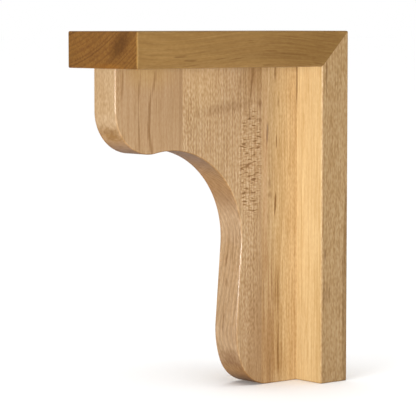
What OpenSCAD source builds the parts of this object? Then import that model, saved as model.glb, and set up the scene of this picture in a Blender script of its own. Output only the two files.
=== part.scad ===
// Wooden corbel bracket: a mitred top plate and back plate in front of which stands a shaped body,
// edge-glued from three boards. It reaches out along -Y from a wall in the plane Y = 0, with +Z up.
// The origin is the centre of the back face that lies on the wall.

/* [Plates] */
// Height of the back plate, from its foot to the top face
height = 254; // [230:1:320]
// How far the top plate stands out from the wall
reach = 194; // [170:1:240]
// Width of both plates
plate_w = 77; // [50:1:140]
// Thickness of both plates
plate_t = 25.4; // [16:0.1:32]

/* [Body] */
// Thickness of the body
body_w = 24; // [16:0.5:48]
// How far the front of the body stands back from the front of the top plate
setback = 2; // [0:0.5:10]

/* [Profile of the body] */
// Radius of the round under the front end
nose_r = 30; // [20:1:36]
// Depth of the lowest point of the front end, below the top face
nose_drop = 84.5; // [70:0.5:95]
// Radius of the cove
cove_r = 65; // [50:1:75]
// Distance from the wall to the deepest point of the cove
waist = 78.5; // [65:0.5:95]
// Distance from the wall to the furthest point of the foot
foot_reach = 83.5; // [79:0.5:92]
// Height of that point above the bottom of the body
foot_lift = 40; // [30:1:50]
// Radius of the slow bend down the front of the foot
shin_r = 61; // [45:1:90]
// Radius of the round at the bottom of the foot
toe_r = 28; // [15:1:36]

/* [Boards of the body] */
// Width of the board at the front
front_board_w = 59; // [45:1:80]
// Width of the board next to the back plate
rear_board_w = 34; // [22:1:45]

/* [Hidden] */
$fn = 180;

// A place in the side view, from its distance out of the wall and its depth below the top face
function at(out, down) = [-out, height / 2 - down];
// The same place, moved a distance r in a direction that is so many degrees above straight back
function polar(centre, r, angle) = centre + r * [cos(angle), sin(angle)];
// The direction from one place to another, in degrees
function heading(a, b) = atan2(b[1] - a[1], b[0] - a[0]);

// How much further each arc reaches than its tangent, so that neighbours cross in one clean edge
kiss = 0.01;

front = reach - setback;
nose = at(front - nose_r, nose_drop - nose_r);

// The cove touches the round of the nose, so their centres are both radii apart
cove_out = waist + cove_r;
cove_down = nose_drop - nose_r + sqrt((nose_r + cove_r) ^ 2 - (front - nose_r - cove_out) ^ 2);
cove = at(cove_out, cove_down);
nose_to = 360 + heading(nose, cove);

// The slow bend of the foot, and the lean from upright of the straight stretch that touches it and the cove
shin = at(foot_reach - shin_r, height - foot_lift);
flare = asin((shin_r + cove_r) / norm(shin - cove)) - 90 - heading(cove, shin);

// The round of the toe lies inside the bend and touches the level bottom
toe_out = foot_reach - shin_r + sqrt((shin_r - toe_r) ^ 2 - (foot_lift - toe_r) ^ 2);
toe = at(toe_out, height - toe_r);
shin_to = 360 + heading(shin, toe);

// The boards meet at these distances from the wall
front_joint = front - front_board_w;
rear_joint = plate_t + rear_board_w;

module disc(centre, r) {
    translate(centre) circle(r);
}

// The side view of the whole body, as far back as the wall. The straight stretches run from one tangent
// to the next and the discs round them off. The slow bend ends on the line through both of its centres.
module body_outline() {
    far = 2 * shin_r;
    difference() {
        union() {
            polygon([at(0, plate_t), at(front, plate_t), polar(nose, nose_r, 180),
                     polar(nose, nose_r, nose_to), polar(cove, cove_r, -flare),
                     polar(shin, shin_r, 180 - flare), polar(shin, shin_r, shin_to),
                     polar(toe, toe_r, 270), at(0, height)]);
            disc(nose, nose_r);
            disc(toe, toe_r + 2 * kiss);
            intersection() {
                disc(shin, shin_r + kiss);
                polygon([shin, polar(shin, far, 120), polar(shin, far, 160), polar(shin, far, shin_to)]);
            }
        }
        disc(cove, cove_r + kiss);
    }
}

// Stands a side view up, with the given thickness across the width
module stand_up(thickness) {
    rotate([90, 0, 90]) linear_extrude(thickness, center = true) children();
}

// The part of the body between two distances from the wall
module board(from, to) {
    stand_up(body_w) intersection() {
        body_outline();
        polygon([at(from, plate_t), at(to, plate_t), at(to, height), at(from, height)]);
    }
}

module top_plate() {
    color("peru") stand_up(plate_w)
        polygon([at(0, 0), at(reach, 0), at(reach, plate_t), at(plate_t, plate_t)]);
}

module back_plate() {
    color("burlywood") stand_up(plate_w)
        polygon([at(0, 0), at(plate_t, plate_t), at(plate_t, height), at(0, height)]);
}

module front_board() {
    color("tan") board(front_joint, front);
}

module middle_board() {
    color("navajowhite") board(rear_joint, front_joint);
}

module rear_board() {
    color("sandybrown") board(plate_t, rear_joint);
}

top_plate();
back_plate();
front_board();
middle_board();
rear_board();
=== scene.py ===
"""Wooden corbel bracket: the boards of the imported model, dressed as lacquered maple, in a pale studio."""

from __future__ import annotations

import logging
import math
from collections.abc import Callable
from dataclasses import dataclass, field
from enum import Enum
from functools import partial
from typing import Any

import bpy
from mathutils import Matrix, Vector

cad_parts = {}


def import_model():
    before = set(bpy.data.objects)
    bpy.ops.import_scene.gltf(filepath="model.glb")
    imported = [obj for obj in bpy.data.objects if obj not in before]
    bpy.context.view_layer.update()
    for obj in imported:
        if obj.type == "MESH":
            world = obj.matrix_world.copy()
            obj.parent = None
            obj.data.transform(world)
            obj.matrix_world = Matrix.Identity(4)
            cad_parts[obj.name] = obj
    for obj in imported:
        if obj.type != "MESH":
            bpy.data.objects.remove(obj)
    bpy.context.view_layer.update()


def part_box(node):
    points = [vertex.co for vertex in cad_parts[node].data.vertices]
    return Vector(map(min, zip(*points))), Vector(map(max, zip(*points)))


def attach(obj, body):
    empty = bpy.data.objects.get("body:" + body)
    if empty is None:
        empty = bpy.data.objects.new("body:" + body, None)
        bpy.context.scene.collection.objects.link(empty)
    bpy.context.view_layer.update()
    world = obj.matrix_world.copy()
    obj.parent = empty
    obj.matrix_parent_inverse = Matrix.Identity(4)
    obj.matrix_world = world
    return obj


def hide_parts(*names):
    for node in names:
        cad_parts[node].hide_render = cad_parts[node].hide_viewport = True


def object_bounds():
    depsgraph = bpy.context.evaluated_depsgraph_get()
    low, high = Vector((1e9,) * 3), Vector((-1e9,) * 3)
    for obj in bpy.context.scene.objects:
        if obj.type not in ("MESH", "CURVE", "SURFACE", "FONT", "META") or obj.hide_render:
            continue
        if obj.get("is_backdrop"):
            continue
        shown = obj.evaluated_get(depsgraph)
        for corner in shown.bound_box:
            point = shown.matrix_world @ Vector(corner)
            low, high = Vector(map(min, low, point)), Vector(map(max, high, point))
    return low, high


LOG = logging.getLogger("corbel")
BODY = "root"
MM = 0.001
# A cut or a selection takes in what lies this near to it
NEAR = 0.01 * MM
WHITE = (1.0, 1.0, 1.0, 1.0)

Pair = tuple[float, float]
Triple = tuple[float, float, float]
Socket = bpy.types.NodeSocket


def mm(*values: float) -> Vector:
    """Returns millimetres as a vector in metres."""
    return Vector(values) * MM


def linear(hex_colour: str) -> tuple[float, float, float, float]:
    """Turns an sRGB hex colour into a linear one.

    Args:
        hex_colour: Six hex digits, as in "C8A070".

    Returns:
        Red, green, blue and alpha, from 0 to 1.
    """
    parts = [int(hex_colour[i : i + 2], 16) / 255 for i in (0, 2, 4)]
    # The sRGB standard's own curve
    curve = [c / 12.92 if c <= 0.04045 else ((c + 0.055) / 1.055) ** 2.4 for c in parts]
    return (*curve, 1.0)


def add_node(
    tree: bpy.types.NodeTree, kind: str, inputs: dict[int | str, Any] | None = None, **settings: Any
) -> bpy.types.Node:
    """Adds a node with its settings, links and values.

    Args:
        tree: The node tree that takes it.
        kind: The node's type without its first words, as in "Math".
        inputs: Socket name or number to a value, or to the output socket that feeds it.
        **settings: Properties of the node, and "stops" for a colour ramp, its two ends first.

    Returns:
        The new node.
    """
    node = tree.nodes.new(f"ShaderNode{kind}")
    stops = settings.pop("stops", ())
    for key, value in settings.items():
        setattr(node, key, value)
    for i, (place, shade) in enumerate(stops):
        elements = node.color_ramp.elements
        element = elements[i] if i < 2 else elements.new(place)
        element.position = place
        element.color = (shade, shade, shade, 1.0)
    for key, value in (inputs or {}).items():
        if isinstance(value, Socket):
            tree.links.new(value, node.inputs[key])
        else:
            node.inputs[key].default_value = value
    return node


def new_material(name: str) -> bpy.types.Material:
    """Makes a material with an empty node tree.

    Args:
        name: Its name.

    Returns:
        The material.
    """
    material = bpy.data.materials.new(name)
    material.use_nodes = True
    material.node_tree.nodes.clear()
    return material


# ---------------------------------------------------------------------------------------------
# Finishes
# ---------------------------------------------------------------------------------------------


class Grain(Enum):
    """The way a board's fibres run, as the turn that brings them upright."""

    UPRIGHT = (0.0, 0.0, 0.0)
    OUTWARD = (math.pi / 2, 0.0, 0.0)

    @property
    def along(self) -> Triple:
        """The direction of the fibres."""
        return (0.0, 0.0, 1.0) if self is Grain.UPRIGHT else (0.0, 1.0, 0.0)


@dataclass(frozen=True)
class Pattern:
    """A noise laid in the wood."""

    # The size of its cells across, out and along the grain (mm)
    cell: Triple
    # Finer octaves on top of the first
    detail: float
    # What sets it apart from the board's other noises
    offset: float


# The pith wanders, slowly, as the tree climbs
WANDER = Pattern((150.0, 150.0, 110.0), 1.0, 1.7)
CLOUDS = Pattern((20.0, 20.0, 105.0), 2.0, 3.1)
STREAKS = Pattern((3.2, 4.0, 130.0), 2.0, 7.7)
# Fibres are far finer than a millimetre: they are drawn as coarse as they need to be to show
FIBRES = Pattern((1.05, 1.05, 30.0), 1.0, 11.3)
# Ray flecks lie across the grain in short dashes, ladder-wise, with finer rungs between them
RAYS = Pattern((3.0, 5.0, 1.3), 0.0, 17.9)
RUNGS = Pattern((3.0, 3.0, 1.0), 0.0, 19.7)
# Pores and short gum lines are tenths of a millimetre wide: they are drawn wider so that they show
PORES = Pattern((1.3, 1.5, 15.0), 0.0, 23.5)
# Ticks are where fibres dip in and out of the planed face: they too are drawn larger, to show
TICKS = Pattern((1.0, 1.0, 2.8), 0.0, 29.1)
# A sawn end shows the fibres' tips, not their length
TIPS = Pattern((1.4, 2.6, 400.0), 1.0, 37.9)

# Nearly all of a noise lies between these values, round this middle
NOISE_SPAN = (0.3, 0.7)
NOISE_MIDDLE = 0.5
NOISE_ROUGHNESS = 0.55
PORE_SPAN = (0.68, 0.8)
RAY_SPAN = (0.6, 0.7)
CLOUD_SPAN = (0.4, 0.66)
BOTH_WAYS = (-1.0, 1.0)
DARKER_ONLY = (0.0, -1.0)
# How far the rungs between ray flecks lighten and darken
RUNG_DEPTH = 0.22
# Where wood is darker it is also redder: the powers at which red, green and blue darken
SHADE_RATES = (0.7, 1.0, 1.55)
# How a face meets the grain, as cosines where an effect starts and where it is full: any cut across the
# fibres, a slanting one and a square one
CUT_LIMITS = (0.12, 0.8)
SLANT_LIMITS = (0.2, 0.5)
SQUARE_LIMITS = (0.55, 0.95)
# The wander's noise keeps within about a quarter of its middle, and this makes that the full sway
WANDER_GAIN = 4.0
# Good and poor years come in runs of about four
YEAR_RUNS = 0.27
# Where a year is darkest, back from its end, as a share of its late wood
LATE_PEAK = 0.35
# How dark a year is as it starts, in spring, as its late wood sets in, at its darkest and as it ends
YEAR_START, SPRING, LATE_ONSET, DARKEST, YEAR_END = 0.15, 0.02, 0.2, 1.0, 0.6
# The share of a year in which the last winter's line fades
FADE = 0.06
# The power that chance is raised to, which leaves most years faint and a few dark
YEAR_ODDS = 2.0
# Relief left in the sanded face: the late wood's share of it, its full height, and how strongly it shows
LATE_RELIEF = 0.35
RELIEF_HEIGHT = 0.06 * MM
RELIEF_STRENGTH = 0.3
# Satin: rougher between the fibres than on them, and rougher still where they are cut across
SATIN = (0.48, 0.38)
CUT_ROUGHNESS = 0.3
COAT_ROUGHNESS = 0.13
WOOD_IOR = 1.5


@dataclass(frozen=True)
class Mark:
    """A soft-edged spindle or cloud in the wood: a mineral streak, a stain, where the rays show, or a
    painted highlight.
    """

    # Its middle and its half-lengths, in the corbel's own millimetres
    at: Triple
    half: Triple
    # How far its top leans towards the front, and across towards +X, in degrees
    lean: float = 0.0
    cant: float = 0.0
    strength: float = 0.5
    # The share of it that is at full strength
    core: float = 0.3
    # How much the fibres fray its outline
    fray: float = 0.6
    colour: str = "7C562C"


@dataclass(frozen=True)
class Maple:
    """Hard maple, planed, sanded and wiped with thin satin lacquer.

    Growth rings, fibres and rays are all drawn in the wood itself, round its pith, so that a side shows
    long grain, a rounded edge shows it turning, and a sawn end shows the rings. To the eye it is pale and
    close-grained, silky rather than glossy, with a thin bright line where an eased edge meets the light.
    """

    name: str
    grain: Grain
    # Where the pith of the tree lay: across the width, and across the depth or the height (mm)
    pith: Pair
    # Early wood, late wood, and the warmer tone that clouds the board
    early: str
    late: str
    warm: str
    # One year's growth (mm), how uneven the years are, and the share of a year that is late wood. Slow
    # maple grows a millimetre or so in a year, but none is drawn under 2 mm, so that each one shows
    ring_width: float
    ring_vary: float = 2.4
    late_share: float = 0.3
    ring_depth: float = 0.3
    end_ring_depth: float = 0.6
    # How dark the faintest year is, against the darkest
    ring_least: float = 0.25
    # How far the trunk wandered (mm), and its bow: how far, centred where, over what length (mm)
    sway: float = 4.0
    bow: Triple = (0.0, 0.0, 200.0)
    # Depth of the broad clouds, of the streaks along the grain, of the fine fibres and of the pores
    tone_depth: float = 0.5
    streak_depth: float = 0.16
    fibre_depth: float = 0.16
    pore_depth: float = 0.25
    # Depth of the ticks all over and where they pebble, of the tips at a sawn end, and of the ray flecks
    tick_depth: float = 0.1
    pebble_depth: float = 0.3
    tip_depth: float = 0.2
    ray_depth: float = 0.6
    # Where the ray flecks show, and where the ticks pebble
    ray_areas: tuple[Mark, ...] = ()
    pebble_areas: tuple[Mark, ...] = ()
    # What slanting cuts do to the colour; how sawn ends darken, as end grain and, on the undersides of the
    # upright boards, as painted shade; and the painted shade on the faces that look one way, and which way
    # that is
    slant_tint: Triple = (0.84, 0.78, 0.62)
    end_grain_and_shade_tint: Triple = (0.70, 0.64, 0.56)
    facing_shade_tint: Triple = (1.0, 1.0, 1.0)
    facing_shade_way: Triple = (0.0, 1.0, 0.0)
    facing_shade_limits: Pair = (0.5, 0.95)
    marks: tuple[Mark, ...] = ()
    # How much the wood itself shines, and the finish on top of it
    gloss: float = 0.2
    coat: float = 0.3
    seed: float = 0.0

    def build(self) -> bpy.types.Material:
        """Makes the material.

        Returns:
            A node material that reads Object coordinates, in metres.
        """
        material = new_material(self.name)
        Timber(self, material.node_tree).finish()
        return material


class Timber:
    """One board's maple as nodes, from the way the tree grew to the finish on top."""

    def __init__(self, maple: Maple, tree: bpy.types.NodeTree) -> None:
        """Lays out the growth, the rings and the fibres, which the layers on top of them read.

        Args:
            maple: The board's looks.
            tree: The material's empty node tree.
        """
        self.maple = maple
        self.add = partial(add_node, tree)
        place = self.add("TexCoord")
        self.here, self.normal = place.outputs["Object"], place.outputs["Normal"]
        # 1 where the fibres are cut across
        self.cut = self._facing(maple.grain.along, CUT_LIMITS)
        self.plain, self.radius, self.polar = self._growth()
        self.rings = self._rings()
        self.fibres = self._noise(self.polar, FIBRES)

    def finish(self) -> None:
        """Joins all the layers under a thin satin finish that still follows the fibres."""
        relief = self.add("Math", {0: self.rings, 1: LATE_RELIEF, 2: self.fibres}, operation="MULTIPLY_ADD")
        bump = self.add("Bump", {"Height": relief.outputs[0], "Strength": RELIEF_STRENGTH,
                                 "Distance": RELIEF_HEIGHT})
        dull = self.add("MapRange", {0: self.fibres, 1: NOISE_SPAN[0], 2: NOISE_SPAN[1], 3: SATIN[0],
                                     4: SATIN[1]})
        rough = self.add("Math", {0: self.cut, 1: CUT_ROUGHNESS, 2: dull.outputs[0]},
                         operation="MULTIPLY_ADD")
        # The cut fibres of an end drink the finish, so none of it stands on top there
        coat = self.add("MapRange", {0: self.cut, 3: self.maple.coat, 4: 0.0})
        shader = self.add("BsdfPrincipled", {
            "Base Color": self._colour(), "Roughness": rough.outputs[0], "Normal": bump.outputs[0],
            "IOR": WOOD_IOR, "Specular IOR Level": self.maple.gloss, "Coat Weight": coat.outputs[0],
            "Coat Roughness": COAT_ROUGHNESS,
        })
        self.add("OutputMaterial", {"Surface": shader.outputs[0]})

    def _growth(self) -> tuple[Socket, Socket, Socket]:
        """Lays out the wood as it grew, in millimetres.

        Returns:
            The board's own coordinates with the grain along Z, the distance from the pith, and that
            distance together with the way round the pith and the length along it.
        """
        maple = self.maple
        across, up = maple.pith
        shift = (-across, -up if maple.grain is Grain.UPRIGHT else up, 0.0)
        plain = self.add("Mapping", {"Vector": self.here, "Location": shift, "Rotation": maple.grain.value,
                                     "Scale": (1 / MM,) * 3}).outputs[0]
        wander = self.add("VectorMath", {0: self._noise(plain, WANDER, "Color"), 1: (NOISE_MIDDLE,) * 3},
                          operation="SUBTRACT")
        reach = WANDER_GAIN * maple.sway
        moved = self.add("VectorMath", {0: wander.outputs[0], 1: (reach, reach, 0.0), 2: plain},
                         operation="MULTIPLY_ADD")
        far, middle, length = maple.bow
        along = self.add("SeparateXYZ", {0: plain}).outputs[2]
        turn = self.add("Math", {0: along, 1: math.tau / length, 2: -middle * math.tau / length},
                        operation="MULTIPLY_ADD")
        wave = self.add("Math", {0: turn.outputs[0]}, operation="COSINE")
        swing = self.add("Math", {0: wave.outputs[0], 1: far}, operation="MULTIPLY")
        bend = self.add("CombineXYZ", {1: swing.outputs[0]})
        bowed = self.add("VectorMath", {0: moved.outputs[0], 1: bend.outputs[0]}).outputs[0]
        flat = self.add("VectorMath", {0: bowed, 1: (1.0, 1.0, 0.0)}, operation="MULTIPLY")
        radius = self.add("VectorMath", {0: flat.outputs[0]}, operation="LENGTH").outputs["Value"]
        split = self.add("SeparateXYZ", {0: bowed}).outputs
        angle = self.add("Math", {0: split[1], 1: split[0]}, operation="ARCTAN2")
        arc = self.add("Math", {0: angle.outputs[0], 1: math.hypot(*maple.pith)}, operation="MULTIPLY")
        polar = self.add("CombineXYZ", {0: radius, 1: arc.outputs[0], 2: split[2]}).outputs[0]
        return plain, radius, polar

    def _noise(self, source: Socket, pattern: Pattern, output: str = "Fac") -> Socket:
        """Lays a pattern in the wood.

        Args:
            source: Millimetre coordinates.
            pattern: The pattern.
            output: "Fac" for one value, "Color" for three.

        Returns:
            The noise, about 0.5.
        """
        scaled = self.add("VectorMath", {0: source, 1: tuple(1 / c for c in pattern.cell)},
                          operation="MULTIPLY")
        return self.add("TexNoise", {
            "Vector": scaled.outputs[0], "W": self.maple.seed + pattern.offset, "Scale": 1.0,
            "Detail": pattern.detail, "Roughness": NOISE_ROUGHNESS,
        }, noise_dimensions="4D").outputs[output]

    def _facing(self, way: Triple, limits: Pair) -> Socket:
        """Tells how squarely a face looks along an axis, either way.

        Args:
            way: The axis.
            limits: The cosines at which the answer is 0 and 1.

        Returns:
            A value from 0 to 1.
        """
        along = self.add("VectorMath", {0: self.normal, 1: way}, operation="DOT_PRODUCT")
        size = self.add("Math", {0: along.outputs["Value"]}, operation="ABSOLUTE")
        return self.add("MapRange", {0: size.outputs[0], 1: limits[0], 2: limits[1]},
                        interpolation_type="SMOOTHSTEP").outputs[0]

    def _rings(self) -> Socket:
        """Draws the growth rings: each year ends in a thin line of darker late wood.

        Returns:
            How dark the late wood is, from 0 to 1.
        """
        maple = self.maple
        slow = self.add("Math", {0: self.radius, 1: YEAR_RUNS / maple.ring_width}, operation="MULTIPLY")
        years = self.add("TexNoise", {"W": slow.outputs[0], "Scale": 1.0, "Detail": 1.0},
                         noise_dimensions="1D")
        even = self.add("Math", {0: self.radius, 1: 1 / maple.ring_width}, operation="MULTIPLY")
        phase = self.add("Math", {0: years.outputs["Fac"], 1: maple.ring_vary, 2: even.outputs[0]},
                         operation="MULTIPLY_ADD").outputs[0]
        year = self.add("Math", {0: phase}, operation="FLOOR")
        season = self.add("Math", {0: phase}, operation="FRACT")
        late, line = 1 - maple.late_share, 1 - LATE_PEAK * maple.late_share
        stops = ((0.0, YEAR_START), (1.0, YEAR_END), (FADE, SPRING), (late, LATE_ONSET), (line, DARKEST))
        growth = self.add("ValToRGB", {0: season.outputs[0]}, stops=stops)
        chance = self.add("TexWhiteNoise", {"W": year.outputs[0]}, noise_dimensions="1D")
        rare = self.add("Math", {0: chance.outputs["Value"], 1: YEAR_ODDS}, operation="POWER")
        strong = self.add("MapRange", {0: rare.outputs[0], 3: maple.ring_least, 4: 1.0})
        return self.add("Math", {0: growth.outputs[0], 1: strong.outputs[0]},
                        operation="MULTIPLY").outputs[0]

    def _colour(self) -> Socket:
        """Lays the wood's ground, stains, painted highlights and figure over each other, darkens its cuts as
        end grain and partly as painted shade, and paints shade on the faces that look one way.

        Returns:
            The colour of the surface.
        """
        maple = self.maple
        figure = self._figure()
        channels = [self.add("Math", {0: figure, 1: rate}, operation="POWER").outputs[0]
                    for rate in SHADE_RATES]
        shade = self.add("CombineXYZ", dict(enumerate(channels)))
        slant = self._facing(maple.grain.along, SLANT_LIMITS)
        turned = self.add("Mix", {0: slant, 6: WHITE, 7: (*maple.slant_tint, 1.0)}, data_type="RGBA")
        # Cut fibres drink up the finish and darken. On the upright boards the cut faces are the undersides
        # of the nose, cove and toe, and there this tint is also painted shade
        square = self._facing(maple.grain.along, SQUARE_LIMITS)
        sawn = self.add("Mix", {0: square, 6: turned.outputs[2], 7: (*maple.end_grain_and_shade_tint, 1.0)},
                        data_type="RGBA")
        # Painted shade: faces that look one chosen way, and the eased edges turning to them, are darkened by
        # this tint
        edge = self._facing(maple.facing_shade_way, maple.facing_shade_limits)
        colour = self._stains_and_painted_highlights(self._ground())
        for mask, tint in ((1.0, shade.outputs[0]), (1.0, sawn.outputs[2]), (edge, (*maple.facing_shade_tint, 1.0))):
            colour = self.add("Mix", {0: mask, 6: colour, 7: tint}, data_type="RGBA",
                              blend_type="MULTIPLY").outputs[2]
        return colour

    def _ground(self) -> Socket:
        """Colours the wood: early wood, late wood and the broad warm clouds.

        Returns:
            The colour.
        """
        maple = self.maple
        depth = self.add("MapRange", {0: self.cut, 3: maple.ring_depth, 4: maple.end_ring_depth})
        share = self.add("Math", {0: self.rings, 1: depth.outputs[0]}, operation="MULTIPLY")
        cloud = self.add("MapRange", {0: self._noise(self.plain, CLOUDS), 1: CLOUD_SPAN[0],
                                      2: CLOUD_SPAN[1], 3: 0.0, 4: maple.tone_depth},
                         interpolation_type="SMOOTHSTEP")
        clouded = self.add("Mix", {0: cloud.outputs[0], 6: linear(maple.early), 7: linear(maple.warm)},
                           data_type="RGBA")
        return self.add("Mix", {0: share.outputs[0], 6: clouded.outputs[2], 7: linear(maple.late)},
                        data_type="RGBA").outputs[2]

    def _stains_and_painted_highlights(self, colour: Socket) -> Socket:
        """Adds the single streaks and clouds that mark this board, and any painted highlight among them.

        Args:
            colour: The colour so far.

        Returns:
            The colour with the marks in it.
        """
        for mark in self.maple.marks:
            colour = self.add("Mix", {0: self._mask(mark, self.fibres), 6: colour, 7: linear(mark.colour)},
                              data_type="RGBA").outputs[2]
        return colour

    def _figure(self) -> Socket:
        """Draws all that only lightens or darkens the wood: streaks, fibres, pores, rays and ticks.

        Returns:
            A factor about 1.
        """
        maple = self.maple
        ray_room = self._areas(maple.ray_areas)
        tick_depth = self.add("MapRange", {0: self._areas(maple.pebble_areas), 3: maple.tick_depth,
                                           4: maple.pebble_depth}).outputs[0]
        factor, *others = (
            self._factor(self._noise(self.polar, STREAKS), maple.streak_depth),
            self._factor(self.fibres, maple.fibre_depth),
            self._factor(self._noise(self.polar, PORES), maple.pore_depth, PORE_SPAN, DARKER_ONLY),
            self._factor(self._noise(self.plain, RAYS), ray_room, RAY_SPAN, (0.0, -maple.ray_depth)),
            self._factor(self._noise(self.plain, RUNGS), ray_room, ends=(-RUNG_DEPTH, RUNG_DEPTH)),
            self._factor(self._noise(self.plain, TICKS), tick_depth),
        )
        for other in others:
            factor = self.add("Math", {0: factor, 1: other}, operation="MULTIPLY").outputs[0]
        tips = self._factor(self._noise(self.polar, TIPS), maple.tip_depth)
        return self.add("Mix", {0: self.cut, 2: factor, 3: tips}).outputs[0]

    def _factor(self, noise: Socket, depth: float | Socket, span: Pair = NOISE_SPAN,
                ends: Pair = BOTH_WAYS) -> Socket:
        """Turns a noise into a factor about 1.

        Args:
            noise: The noise.
            depth: How far the factor goes from 1, as a number or a socket.
            span: The values of the noise between which it goes.
            ends: What it goes to at each, at a depth of 1.

        Returns:
            The factor.
        """
        part = self.add("MapRange", {0: noise, 1: span[0], 2: span[1], 3: ends[0], 4: ends[1]})
        return self.add("Math", {0: part.outputs[0], 1: depth, 2: 1.0}, operation="MULTIPLY_ADD").outputs[0]

    def _areas(self, areas: tuple[Mark, ...]) -> float | Socket:
        """Joins several marks into one mask.

        Args:
            areas: The marks.

        Returns:
            The strongest of them at each point, or 0 where there are none.
        """
        joined: float | Socket = 0.0
        for area in areas:
            joined = self.add("Math", {0: joined, 1: self._mask(area)}, operation="MAXIMUM").outputs[0]
        return joined

    def _mask(self, mark: Mark, fibres: Socket | None = None) -> Socket:
        """Finds how deep a point lies inside a mark.

        Args:
            mark: The mark.
            fibres: Noise that frays its outline, if it is frayed.

        Returns:
            0 outside, the mark's strength in its core.
        """
        turn = (math.radians(mark.lean), math.radians(mark.cant), 0.0)
        local = self.add("Mapping", {"Vector": self.here, "Location": mm(*mark.at), "Rotation": turn,
                                     "Scale": mm(*mark.half)}, vector_type="TEXTURE")
        away = self.add("VectorMath", {0: local.outputs[0]}, operation="LENGTH").outputs["Value"]
        if fibres is not None:
            rough = self.add("MapRange", {0: fibres, 1: NOISE_SPAN[0], 2: NOISE_SPAN[1], 3: -mark.fray,
                                          4: mark.fray})
            away = self.add("Math", {0: away, 1: rough.outputs[0]}).outputs[0]
        return self.add("MapRange", {0: away, 1: 1.0, 2: mark.core, 3: 0.0, 4: mark.strength},
                        interpolation_type="SMOOTHSTEP").outputs[0]


@dataclass(frozen=True)
class Backdrop:
    """Matt white background paper off a roll: an even ground for soft shadows, faintly mottled by fibres."""

    name: str = "matt_rolled_background_paper"
    colour: str = "FDFDFD"
    # Cells of the mottle to a metre, its finer octaves, and how dull it is at its smoothest and roughest
    mottle: float = 60.0
    mottle_detail: float = 3.0
    dull: Pair = (0.85, 0.95)

    def build(self) -> bpy.types.Material:
        """Makes the material.

        Returns:
            A node material that reads Object coordinates, in metres.
        """
        material = new_material(self.name)
        add = partial(add_node, material.node_tree)
        place = add("TexCoord")
        mottle = add("TexNoise", {"Vector": place.outputs["Object"], "Scale": self.mottle,
                                  "Detail": self.mottle_detail})
        dull = add("MapRange", {0: mottle.outputs["Fac"], 3: self.dull[0], 4: self.dull[1]})
        shader = add("BsdfPrincipled", {"Base Color": linear(self.colour), "Roughness": dull.outputs[0]})
        add("OutputMaterial", {"Surface": shader.outputs[0]})
        return material


# ---------------------------------------------------------------------------------------------
# Modelling
# ---------------------------------------------------------------------------------------------

# Faces that meet at less than this are one smooth round
SMOOTH_ANGLE = math.radians(40)
# The weight at which the large flat faces alone decide how the rounds next to them are shaded
FLAT_WEIGHT = 100
# The profile of a bevel that is a true quarter round
ROUND_OVER = 0.5


def edit(piece: bpy.types.Object) -> None:
    """Opens one object in edit mode, alone in the selection, with all of its mesh selected.

    Args:
        piece: The object.
    """
    bpy.ops.object.select_all(action="DESELECT")
    piece.select_set(True)
    bpy.context.view_layer.objects.active = piece
    bpy.ops.object.mode_set(mode="EDIT")
    bpy.ops.mesh.select_mode(type="VERT")
    bpy.ops.mesh.select_all(action="SELECT")


def leave_edit() -> None:
    """Goes back to object mode."""
    bpy.ops.object.mode_set(mode="OBJECT")


def select_edges(piece: bpy.types.Object, wanted: Callable[[Vector, Vector], bool]) -> int:
    """Selects edges by their two ends, and leaves the object in edit mode.

    Args:
        piece: The object, in edit mode.
        wanted: A function of the ends' places that says whether to take the edge.

    Returns:
        How many edges are selected.
    """
    bpy.ops.mesh.select_all(action="DESELECT")
    bpy.ops.mesh.select_mode(type="EDGE")
    leave_edit()
    mesh = piece.data
    for edge in mesh.edges:
        edge.select = wanted(*(mesh.vertices[i].co for i in edge.vertices))
    chosen = sum(edge.select for edge in mesh.edges)
    bpy.ops.object.mode_set(mode="EDIT")
    return chosen


def copy_of(piece: bpy.types.Object, name: str) -> bpy.types.Object:
    """Copies an object, with a mesh of its own.

    Args:
        piece: The object.
        name: The copy's name.

    Returns:
        The copy.
    """
    twin = piece.copy()
    twin.data = piece.data.copy()
    twin.name = twin.data.name = name
    bpy.context.scene.collection.objects.link(twin)
    return twin


def keep_side(piece: bpy.types.Object, point: Vector, outward: Vector) -> None:
    """Saws an object along a plane and keeps what lies behind it, with the sawn face closed.

    Args:
        piece: The object.
        point: A point of the plane.
        outward: The plane's normal, towards what is taken away.
    """
    edit(piece)
    bpy.ops.mesh.bisect(plane_co=point, plane_no=outward, use_fill=True, clear_outer=True, threshold=NEAR)
    leave_edit()


def finish_mesh(piece: bpy.types.Object, node: str, material: bpy.types.Material) -> None:
    """Smooths the rounds, keeps the flats flat, hangs the piece on the body and hides the CAD node that it
    stands for.

    Args:
        piece: The finished object.
        node: The CAD node.
        material: Its finish.
    """
    edit(piece)
    bpy.ops.mesh.normals_make_consistent(inside=False)
    leave_edit()
    bpy.ops.object.shade_smooth_by_angle(angle=SMOOTH_ANGLE)
    steady = piece.modifiers.new("flat_sides", "WEIGHTED_NORMAL")
    steady.keep_sharp = True
    steady.weight = FLAT_WEIGHT
    bpy.ops.object.modifier_apply(modifier=steady.name)
    piece.data.materials.clear()
    piece.data.materials.append(material)
    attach(piece, BODY)
    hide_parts(node)
    low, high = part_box(node)
    points = [piece.matrix_world @ v.co for v in piece.data.vertices]
    slack = max(
        abs(end(point[i] for point in points) - corner[i])
        for end, corner in ((min, low), (max, high))
        for i in range(3)
    )
    faces = len(piece.data.polygons)
    LOG.info("%s: %d faces, box within %.3f mm of its solid", piece.name, faces, slack / MM)


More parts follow.
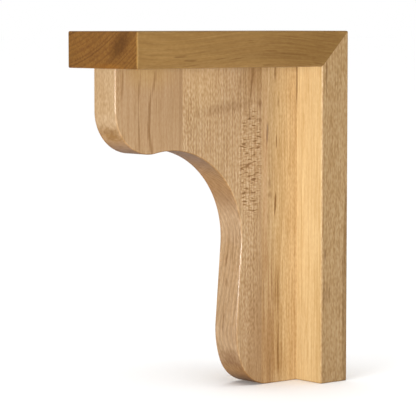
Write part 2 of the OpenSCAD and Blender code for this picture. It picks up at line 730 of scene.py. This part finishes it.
@dataclass
class Plates:
    """The top plate and the back plate, mitred together at the upper back corner."""

    arris: float = 1.1 * MM
    arris_steps: int = 4
    finishes: dict[str, Maple] = field(default_factory=dict)

    def build(self) -> None:
        """Makes both plates."""
        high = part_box("top_plate")[1]
        corner = Vector((0.0, high.y, high.z))
        self._plate("top_plate", corner, Vector((0.0, 1.0, -1.0)))
        self._plate("back_plate", corner, Vector((0.0, -1.0, 1.0)))

    def _plate(self, node: str, corner: Vector, away: Vector) -> None:
        """Planes a square-ended board, eases its arrises and saws the mitre.

        Args:
            node: The CAD node, which gives the board's box.
            corner: A point of the mitre.
            away: The mitre's normal, towards the waste.
        """
        low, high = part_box(node)
        bpy.ops.object.select_all(action="DESELECT")
        bpy.ops.mesh.primitive_cube_add(size=1.0, location=(low + high) / 2, scale=high - low)
        piece = bpy.context.object
        piece.name = piece.data.name = f"{node}_board"
        bpy.ops.object.transform_apply(location=True, rotation=True, scale=True)
        edit(piece)
        bpy.ops.mesh.bevel(offset=self.arris, segments=self.arris_steps, profile=ROUND_OVER, affect="EDGES")
        leave_edit()
        keep_side(piece, corner, away.normalized())
        finish_mesh(piece, node, self.finishes[node].build())


@dataclass
class Body:
    """The shaped body: one outline, rounded over, then parted into its three boards."""

    nose_radius: float = 30.0 * MM
    cove_radius: float = 65.0 * MM
    waist: float = 78.5 * MM
    foot_reach: float = 83.5 * MM
    foot_lift: float = 40.0 * MM
    shin_radius: float = 61.0 * MM
    toe_radius: float = 28.0 * MM
    arris: float = 1.1 * MM
    arris_steps: int = 4
    # How far a curve turns from one of its points to the next
    step: float = math.radians(2.5)
    finishes: dict[str, Maple] = field(default_factory=dict)

    def build(self) -> None:
        """Makes the three boards."""
        whole = self._whole()
        front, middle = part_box("front_board"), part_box("middle_board")
        cuts = {
            "front_board": [(front[1].y, 1.0)],
            "middle_board": [(middle[0].y, -1.0), (middle[1].y, 1.0)],
            "rear_board": [(middle[1].y, -1.0)],
        }
        for node, planes in cuts.items():
            piece = copy_of(whole, f"{node}_stave")
            for y, way in planes:
                keep_side(piece, Vector((0.0, y, 0.0)), Vector((0.0, way, 0.0)))
            finish_mesh(piece, node, self.finishes[node].build())
        bpy.data.objects.remove(whole)

    def _whole(self) -> bpy.types.Object:
        """Draws the outline with straight runs and spins, makes it solid and rounds its arrises over.

        Returns:
            The whole body, before it is parted.
        """
        front_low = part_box("front_board")[0]
        rear_low, rear_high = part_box("rear_board")
        front, back, top, bottom = front_low.y, rear_high.y, rear_high.z, rear_low.z
        side = rear_low.x

        # The nose, the cove, the shin and the toe run into one another, which settles their centres
        nose = Vector((side, front + self.nose_radius, front_low.z + self.nose_radius))
        cove_y = -self.waist - self.cove_radius
        fall = math.sqrt((self.nose_radius + self.cove_radius) ** 2 - (nose.y - cove_y) ** 2)
        cove = Vector((side, cove_y, nose.z - fall))
        shin = Vector((side, self.shin_radius - self.foot_reach, bottom + self.foot_lift))
        slope = math.atan2(shin.z - cove.z, shin.y - cove.y)
        flare = math.asin((self.shin_radius + self.cove_radius) / (shin - cove).length) - math.pi / 2 - slope
        run = math.sqrt((shin - cove).length_squared - (self.shin_radius + self.cove_radius) ** 2)
        toe_z = bottom + self.toe_radius
        toe_in = math.sqrt((self.shin_radius - self.toe_radius) ** 2 - (shin.z - toe_z) ** 2)
        toe = Vector((side, shin.y - toe_in, toe_z))
        nose_turn = math.pi + math.atan2(cove.z - nose.z, cove.y - nose.y)
        if nose_turn < 0:
            nose_turn += math.tau
        shin_turn = math.atan2(shin.z - toe.z, shin.y - toe.y)

        # One point at the upper back corner draws the outline as it goes
        bpy.ops.object.select_all(action="DESELECT")
        bpy.ops.mesh.primitive_plane_add(size=MM, location=(side, back, top))
        piece = bpy.context.object
        piece.name = piece.data.name = "whole_body"
        bpy.ops.object.transform_apply(location=True)
        edit(piece)
        bpy.ops.mesh.merge(type="CENTER")
        self._run(0.0, front - back)
        self._run(nose.z - top, 0.0)
        self._turn(nose, nose_turn)
        self._turn(cove, -(nose_turn + flare))
        self._run(-run * math.cos(flare), -run * math.sin(flare))
        self._turn(shin, flare + shin_turn)
        self._turn(toe, math.pi / 2 - shin_turn)
        self._run(0.0, back - toe.y)
        bpy.ops.mesh.select_all(action="SELECT")
        bpy.ops.mesh.remove_doubles(threshold=NEAR)
        bpy.ops.mesh.edge_face_add()
        bpy.ops.mesh.extrude_region_move(TRANSFORM_OT_translate={"value": (-2 * side, 0.0, 0.0)})

        def rim(a: Vector, b: Vector) -> bool:
            """Says whether an edge runs along the outline where it is seen."""
            return (abs(a.x - b.x) < NEAR and min(abs(a.z - top), abs(b.z - top)) + abs(a.z - b.z) > NEAR
                    and abs(a.y - back) + abs(b.y - back) > NEAR)

        chosen = select_edges(piece, rim)
        bpy.ops.mesh.bevel(offset=self.arris, segments=self.arris_steps, profile=ROUND_OVER, affect="EDGES")
        leave_edit()
        LOG.info("body outline: %d edges rounded over, flare %.2f degrees", chosen, math.degrees(flare))
        return piece

    def _run(self, up: float, out: float) -> None:
        """Draws a straight run from the selected vertex.

        Args:
            up: How far it rises.
            out: How far it goes along Y.
        """
        bpy.ops.mesh.extrude_region_move(TRANSFORM_OT_translate={"value": (0.0, out, up)})

    def _turn(self, centre: Vector, angle: float) -> None:
        """Draws an arc from the selected vertex.

        Args:
            centre: The arc's centre.
            angle: How far it turns about +X, in radians.
        """
        steps = max(2, round(abs(angle) / self.step))
        # Spin counts its angle the other way round
        bpy.ops.mesh.spin(steps=steps, angle=-angle, center=centre, axis=(1.0, 0.0, 0.0))


# ---------------------------------------------------------------------------------------------
# Studio
# ---------------------------------------------------------------------------------------------


@dataclass
class Softbox:
    """One soft light, by the way it stands from the object and its size."""

    name: str
    # Degrees, metres and watts
    azimuth: float
    elevation: float
    distance: float
    size: Pair
    power: float

    def build(self, aim: Vector) -> None:
        """Sets the light up.

        Args:
            aim: The point that it faces.
        """
        lamp = bpy.data.lights.new(self.name, "AREA")
        lamp.shape = "RECTANGLE"
        lamp.size, lamp.size_y = self.size
        lamp.energy = self.power
        holder = bpy.data.objects.new(self.name, lamp)
        bpy.context.scene.collection.objects.link(holder)
        holder.location = aim + from_angles(self.azimuth, self.elevation) * self.distance
        holder.rotation_euler = (aim - holder.location).to_track_quat("-Z", "Y").to_euler()


def from_angles(azimuth: float, elevation: float) -> Vector:
    """The direction of a place seen at an azimuth and elevation in degrees, with 0 in front along -Y."""
    a, e = math.radians(azimuth), math.radians(elevation)
    return Vector((math.sin(a) * math.cos(e), -math.cos(a) * math.cos(e), math.sin(e)))


@dataclass
class Studio:
    """A pale floor, soft lights and the camera."""

    # Where the camera stands from its aim (degrees, metres), its lens (mm) and how far it sees (m)
    azimuth: float = 49.79
    elevation: float = 4.70
    distance: float = 1.588
    lens: float = 193.8
    sight: float = 100.0
    aim: Vector = field(default_factory=lambda: mm(-1.0, -99.0, 1.8))
    floor_size: float = 60.0
    # How bright the room is beside the plain white that shows behind the corbel
    room: float = 0.3
    # The ceiling's strength (watts to a square metre) and the angle that its light spreads over
    ceiling: float = 2.4
    ceiling_spread: float = 80.0
    lights: tuple[Softbox, ...] = (
        Softbox("key_softbox", azimuth=18.0, elevation=2.5, distance=1.5, size=(0.8, 0.24), power=26.0),
        Softbox("side_softbox", azimuth=78.0, elevation=6.0, distance=1.6, size=(0.9, 0.5), power=6.0),
    )

    def build(self) -> None:
        """Sets the camera, the floor and the lights."""
        self._camera()
        self._floor()
        for light in self.lights:
            light.build(self.aim)
        self._ceiling()
        self._sky()
        bpy.context.scene.view_settings.view_transform = "Standard"

    def _camera(self) -> None:
        """Places the camera by its azimuth, elevation and distance."""
        data = bpy.data.cameras.new("camera")
        data.lens = self.lens
        data.clip_end = self.sight
        camera = bpy.data.objects.new("camera", data)
        bpy.context.scene.collection.objects.link(camera)
        camera.location = self.aim + from_angles(self.azimuth, self.elevation) * self.distance
        camera.rotation_euler = (self.aim - camera.location).to_track_quat("-Z", "Y").to_euler()
        bpy.context.scene.camera = camera

    def _floor(self) -> None:
        """Lays the background paper under the lowest point of the corbel."""
        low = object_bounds()[0]
        bpy.ops.object.select_all(action="DESELECT")
        bpy.ops.mesh.primitive_plane_add(size=self.floor_size, location=(0.0, 0.0, low.z))
        floor = bpy.context.object
        floor.name = floor.data.name = "floor"
        bpy.ops.object.transform_apply(location=True)
        floor.data.materials.append(Backdrop().build())
        floor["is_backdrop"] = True

    def _sky(self) -> None:
        """Shows plain white behind the corbel, while a dimmer room lights it and lies in its gloss."""
        world = bpy.data.worlds.new("studio")
        world.use_nodes = True
        bpy.context.scene.world = world
        tree = world.node_tree
        tree.nodes.clear()
        seen = add_node(tree, "LightPath").outputs["Is Camera Ray"]
        strength = add_node(tree, "MapRange", {0: seen, 3: self.room, 4: 1.0})
        glow = add_node(tree, "Background", {"Color": WHITE, "Strength": strength.outputs[0]})
        add_node(tree, "OutputWorld", {"Surface": glow.outputs[0]})

    def _ceiling(self) -> None:
        """Lights the paper evenly from overhead, as a ceiling of diffusers does."""
        lamp = bpy.data.lights.new("ceiling_light", "SUN")
        lamp.energy = self.ceiling
        lamp.angle = math.radians(self.ceiling_spread)
        holder = bpy.data.objects.new("ceiling_light", lamp)
        bpy.context.scene.collection.objects.link(holder)


# ---------------------------------------------------------------------------------------------
# The boards' own wood
# ---------------------------------------------------------------------------------------------

# Browner than the rest: its sawn front end shows arched rings and a dark cloud, with a painted highlight
# down its near corner
TOP_PLATE = Maple(
    name="sanded_lacquered_maple_top_plate", grain=Grain.OUTWARD, pith=(-71.0, 254.0),
    early="846334", late="664822", warm="7A5A2D",
    ring_width=3.6, ring_least=0.5, late_share=0.5, ring_depth=0.35, end_ring_depth=1.0,
    sway=1.5, bow=(3.0, -70.0, 220.0),
    streak_depth=0.06, fibre_depth=0.12, tick_depth=0.06,
    slant_tint=(0.7, 0.6, 0.5), end_grain_and_shade_tint=(0.56, 0.44, 0.24), coat=0.16, gloss=0.15,
    marks=(
        # Painted highlight: a thin pale line down the near vertical arris, where the lit edge glints
        Mark(at=(38.5, -194.0, 114.3), half=(1.25, 1.25, 40.0), strength=0.85, fray=0.1,
             colour="A08450"),
        Mark(at=(38.5, -158.0, 109.5), half=(8.0, 9.0, 0.9), strength=0.6, colour="5F4019"),
        Mark(at=(38.5, -148.0, 107.0), half=(8.0, 6.0, 0.8), colour="5F4019"),
        Mark(at=(38.5, -36.0, 112.0), half=(9.0, 60.0, 24.0), core=0.1, fray=0.1,
             colour="6B4A18"),
        Mark(at=(20.0, -194.0, 118.0), half=(10.0, 6.0, 21.0), cant=47.0, strength=0.85, core=0.15, fray=0.1,
             colour="5A3C06"),
        Mark(at=(5.0, -194.0, 103.0), half=(30.0, 6.0, 3.0), strength=0.35, core=0.1, fray=0.1,
             colour="9A6A22"),
    ),
    seed=2.0,
)
# Pale on its face and browner down its sides, where close rings run through a fine pebble; part of that
# browning, on the sides and on the eased edges that turn to them, is painted shade
BACK_PLATE = Maple(
    name="sanded_lacquered_maple_back_plate", grain=Grain.UPRIGHT, pith=(-150.0, -190.0),
    early="B99B6D", late="9E8055", warm="B39568",
    ring_width=2.3, ring_vary=1.0, ring_least=0.5, late_share=0.5, ring_depth=0.42, sway=0.6,
    streak_depth=0.03, fibre_depth=0.13, pore_depth=0.15, tick_depth=0.05, pebble_depth=0.19, coat=0.1,
    # Painted shade: the side faces, and the eased edges that turn to them, are darkened
    facing_shade_way=(1.0, 0.0, 0.0), facing_shade_limits=(0.2, 0.6), facing_shade_tint=(0.71, 0.66, 0.62),
    pebble_areas=(Mark(at=(38.5, -12.0, 0.0), half=(1.4, 60.0, 600.0), strength=1.0, core=0.6),),
    marks=(
        Mark(at=(42.0, -27.0, -100.0), half=(20.0, 10.0, 130.0), core=0.1, fray=0.1,
             colour="A28150"),
        Mark(at=(38.5, -22.1, -34.3), half=(4.0, 1.0, 6.0), strength=0.6),
        Mark(at=(38.5, -21.2, 97.0), half=(4.0, 1.4, 12.0), strength=0.6),
        Mark(at=(38.5, -2.6, -66.0), half=(6.0, 3.6, 90.0), core=0.7, fray=0.3,
             colour="8A6838"),
        Mark(at=(38.5, -21.0, -62.0), half=(4.0, 5.0, 11.0), strength=0.3, core=0.1),
    ),
    seed=5.0,
)
# Wide years and long dark mineral streaks, down to a brown end where the nose turns under, which is end
# grain and painted shade
FRONT_BOARD = Maple(
    name="sanded_lacquered_maple_front_board", grain=Grain.UPRIGHT, pith=(20.0, -40.0),
    early="A1815C", late="896A42", warm="9B7A53",
    ring_width=5.6, ring_least=0.2, sway=2.5,
    streak_depth=0.04, fibre_depth=0.1, pore_depth=0.1, tick_depth=0.06, pebble_depth=0.16,
    # Painted shade: the faces that look forward are darkened, and the sawn-end tint darkens the nose's
    # underside as shade as well as end grain
    facing_shade_tint=(0.81, 0.85, 0.87), slant_tint=(0.8, 0.72, 0.6), end_grain_and_shade_tint=(0.44, 0.4, 0.44),
    pebble_areas=(Mark(at=(0.0, -192.0, 80.0), half=(30.0, 6.0, 60.0), strength=1.0, core=0.5),),
    marks=(
        Mark(at=(12.0, -163.0, 100.0), half=(14.0, 34.0, 18.0), core=0.1, fray=0.1,
             colour="A5834A"),
        Mark(at=(12.0, -158.5, 91.0), half=(6.0, 1.8, 19.0), lean=-13.5, strength=0.55, fray=0.3),
        Mark(at=(12.0, -162.6, 68.0), half=(6.0, 2.0, 19.0), lean=-4.5, strength=0.6, fray=0.3),
        Mark(at=(12.0, -161.6, 50.0), half=(6.0, 1.7, 16.0), lean=9.0, strength=0.55, fray=0.3),
        Mark(at=(2.0, -187.0, 56.0), half=(14.5, 10.0, 9.0), cant=12.0, strength=0.9, core=0.1, fray=0.25,
             colour="86612D"),
        Mark(at=(0.0, -178.0, 43.5), half=(24.0, 22.0, 8.0), cant=12.0, strength=0.9, core=0.75, fray=0.1,
             colour="9B7B55"),
        Mark(at=(12.0, -171.3, 86.0), half=(6.0, 1.3, 22.0), lean=-3.6, strength=0.55, fray=0.3),
        Mark(at=(12.0, -171.5, 58.0), half=(6.0, 1.3, 21.0), lean=3.4, strength=0.55, fray=0.3),
        Mark(at=(12.0, -185.6, 92.0), half=(6.0, 1.0, 13.0), lean=-5.0, strength=0.45, fray=0.3),
        Mark(at=(12.0, -134.8, 60.0), half=(6.0, 1.7, 80.0), strength=0.25, core=0.4, fray=0.2),
    ),
    seed=8.0,
)
# Close, strong years, with ray flecks in a patch by the rear glue line and brown shadows above it
MIDDLE_BOARD = Maple(
    name="sanded_lacquered_maple_middle_board", grain=Grain.UPRIGHT, pith=(-110.0, 110.0),
    early="AC8B62", late="8C6D47", warm="A1825A",
    ring_width=2.2, ring_vary=0.3, ring_least=0.6, late_share=0.5, ring_depth=0.85, sway=0.8,
    fibre_depth=0.14, streak_depth=0.03, tick_depth=0.12, pebble_depth=0.28, coat=0.5,
    # Painted shade: the faces that look forward, down the cove and shin, are darkened, and the sawn-end tint
    # darkens the cove's top and the toe as shade as well as end grain
    facing_shade_tint=(0.76, 0.745, 0.76), slant_tint=(0.71, 0.6, 0.44), end_grain_and_shade_tint=(0.41, 0.375, 0.44),
    ray_areas=(Mark(at=(12.0, -70.0, 33.0), half=(9.0, 12.5, 46.0), strength=1.0, core=0.75),),
    pebble_areas=(
        Mark(at=(12.0, -127.5, 62.0), half=(14.0, 7.5, 38.0), strength=1.0, core=0.6),
        Mark(at=(12.0, -72.0, -45.0), half=(14.0, 10.0, 80.0), strength=0.9, core=0.6),
        Mark(at=(12.0, -98.0, 50.0), half=(14.0, 42.0, 64.0), core=0.6),
    ),
    marks=(
        Mark(at=(12.0, -116.0, 92.0), half=(14.0, 30.0, 44.0), strength=0.6, core=0.1, fray=0.1,
             colour="B39265"),
        Mark(at=(12.0, -60.0, 100.0), half=(14.0, 27.0, 34.0), strength=0.8, core=0.1, fray=0.1,
             colour="8E6938"),
        Mark(at=(12.0, -64.0, -110.0), half=(16.0, 26.0, 100.0), strength=0.85, core=0.2, fray=0.1,
             colour="947147"),
        Mark(at=(12.0, -93.0, 73.0), half=(10.0, 38.0, 5.5), lean=7.8, strength=0.4, core=0.1, fray=0.2),
        Mark(at=(12.0, -61.5, 75.5), half=(8.0, 3.8, 4.0), strength=0.75, core=0.1, fray=0.2),
        Mark(at=(12.0, -62.0, 63.5), half=(8.0, 3.4, 2.2), strength=0.7, core=0.1, fray=0.2),
        Mark(at=(12.0, -69.4, 89.0), half=(6.0, 1.0, 16.0), lean=-7.0, strength=0.9, fray=0.2),
        Mark(at=(12.0, -71.0, 68.5), half=(6.0, 0.9, 7.0), strength=0.8, fray=0.2),
        Mark(at=(-3.5, -79.0, -38.0), half=(0.9, 8.0, 5.0), strength=0.7),
        Mark(at=(-2.4, -80.0, -52.0), half=(0.8, 8.0, 4.5), strength=0.7),
        Mark(at=(3.1, -79.0, -32.0), half=(0.7, 8.0, 13.0), strength=0.6),
        Mark(at=(-2.9, -83.0, -80.0), half=(0.9, 8.0, 7.0), strength=0.7),
        Mark(at=(0.0, -81.0, -107.0), half=(15.0, 9.0, 11.0), strength=0.65, core=0.2, fray=0.2,
             colour="7F592B"),
    ),
    seed=11.0,
)
# The most golden board, close-grained, with short dark gum streaks all the way down
REAR_BOARD = Maple(
    name="sanded_lacquered_maple_rear_board", grain=Grain.UPRIGHT, pith=(-60.0, 90.0),
    early="C4A373", late="AD8959", warm="BD9B6A",
    ring_width=2.2, ring_vary=0.4, ring_least=0.5, late_share=0.5, ring_depth=0.55, sway=0.6,
    streak_depth=0.03, fibre_depth=0.18, pore_depth=0.2, tick_depth=0.11,
    marks=(
        Mark(at=(12.0, -62.0, 0.0), half=(14.0, 36.0, 400.0), strength=0.85, core=0.0, fray=0.05,
             colour="A18258"),
        Mark(at=(12.0, -54.0, -100.0), half=(14.0, 18.0, 85.0), strength=0.8, core=0.2, fray=0.2,
             colour="956E40"),
        Mark(at=(12.0, -57.2, -60.5), half=(5.0, 0.8, 14.0), strength=0.8),
        Mark(at=(12.0, -48.0, -66.0), half=(8.0, 8.0, 20.0), strength=0.35, core=0.1),
        Mark(at=(12.0, -43.5, -105.5), half=(5.0, 0.7, 24.0), strength=0.7),
        Mark(at=(12.0, -51.4, -116.0), half=(5.0, 0.7, 15.0), strength=0.6),
        Mark(at=(12.0, -47.1, 97.0), half=(5.0, 1.0, 8.0), strength=0.7),
        Mark(at=(12.0, -44.2, 75.8), half=(5.0, 1.2, 6.5), strength=0.7),
        Mark(at=(12.0, -54.3, 56.0), half=(5.0, 0.9, 9.5), strength=0.8, colour="6E5238"),
        Mark(at=(12.0, -45.8, 47.0), half=(5.0, 1.0, 6.0), strength=0.9),
        Mark(at=(12.0, -46.2, 3.5), half=(5.0, 1.1, 10.0), lean=-6.0, strength=0.9),
        Mark(at=(12.0, -52.0, 9.5), half=(5.0, 2.6, 3.0), core=0.1),
        Mark(at=(12.0, -53.4, 18.0), half=(5.0, 3.4, 4.6), strength=0.4, core=0.1),
        Mark(at=(12.0, -54.2, -5.5), half=(5.0, 0.9, 4.0), strength=0.7),
        Mark(at=(12.0, -26.0, 86.0), half=(5.0, 0.9, 22.0), strength=0.9),
        Mark(at=(12.0, -56.5, 30.0), half=(14.0, 4.5, 110.0), strength=0.3, core=0.0, fray=0.1,
             colour="BD9370"),
    ),
    seed=14.0,
)


def main() -> None:
    """Loads the frame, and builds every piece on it."""
    logging.basicConfig(level=logging.INFO, format="%(name)s: %(message)s")
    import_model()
    Plates(finishes={"top_plate": TOP_PLATE, "back_plate": BACK_PLATE}).build()
    staves = {"front_board": FRONT_BOARD, "middle_board": MIDDLE_BOARD, "rear_board": REAR_BOARD}
    Body(finishes=staves).build()
    Studio().build()
    low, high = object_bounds()
    corners = [tuple(round(c / MM, 2) for c in corner) for corner in (low, high)]
    LOG.info("visual box %s to %s mm", *corners)


if __name__ == "__main__":
    main()
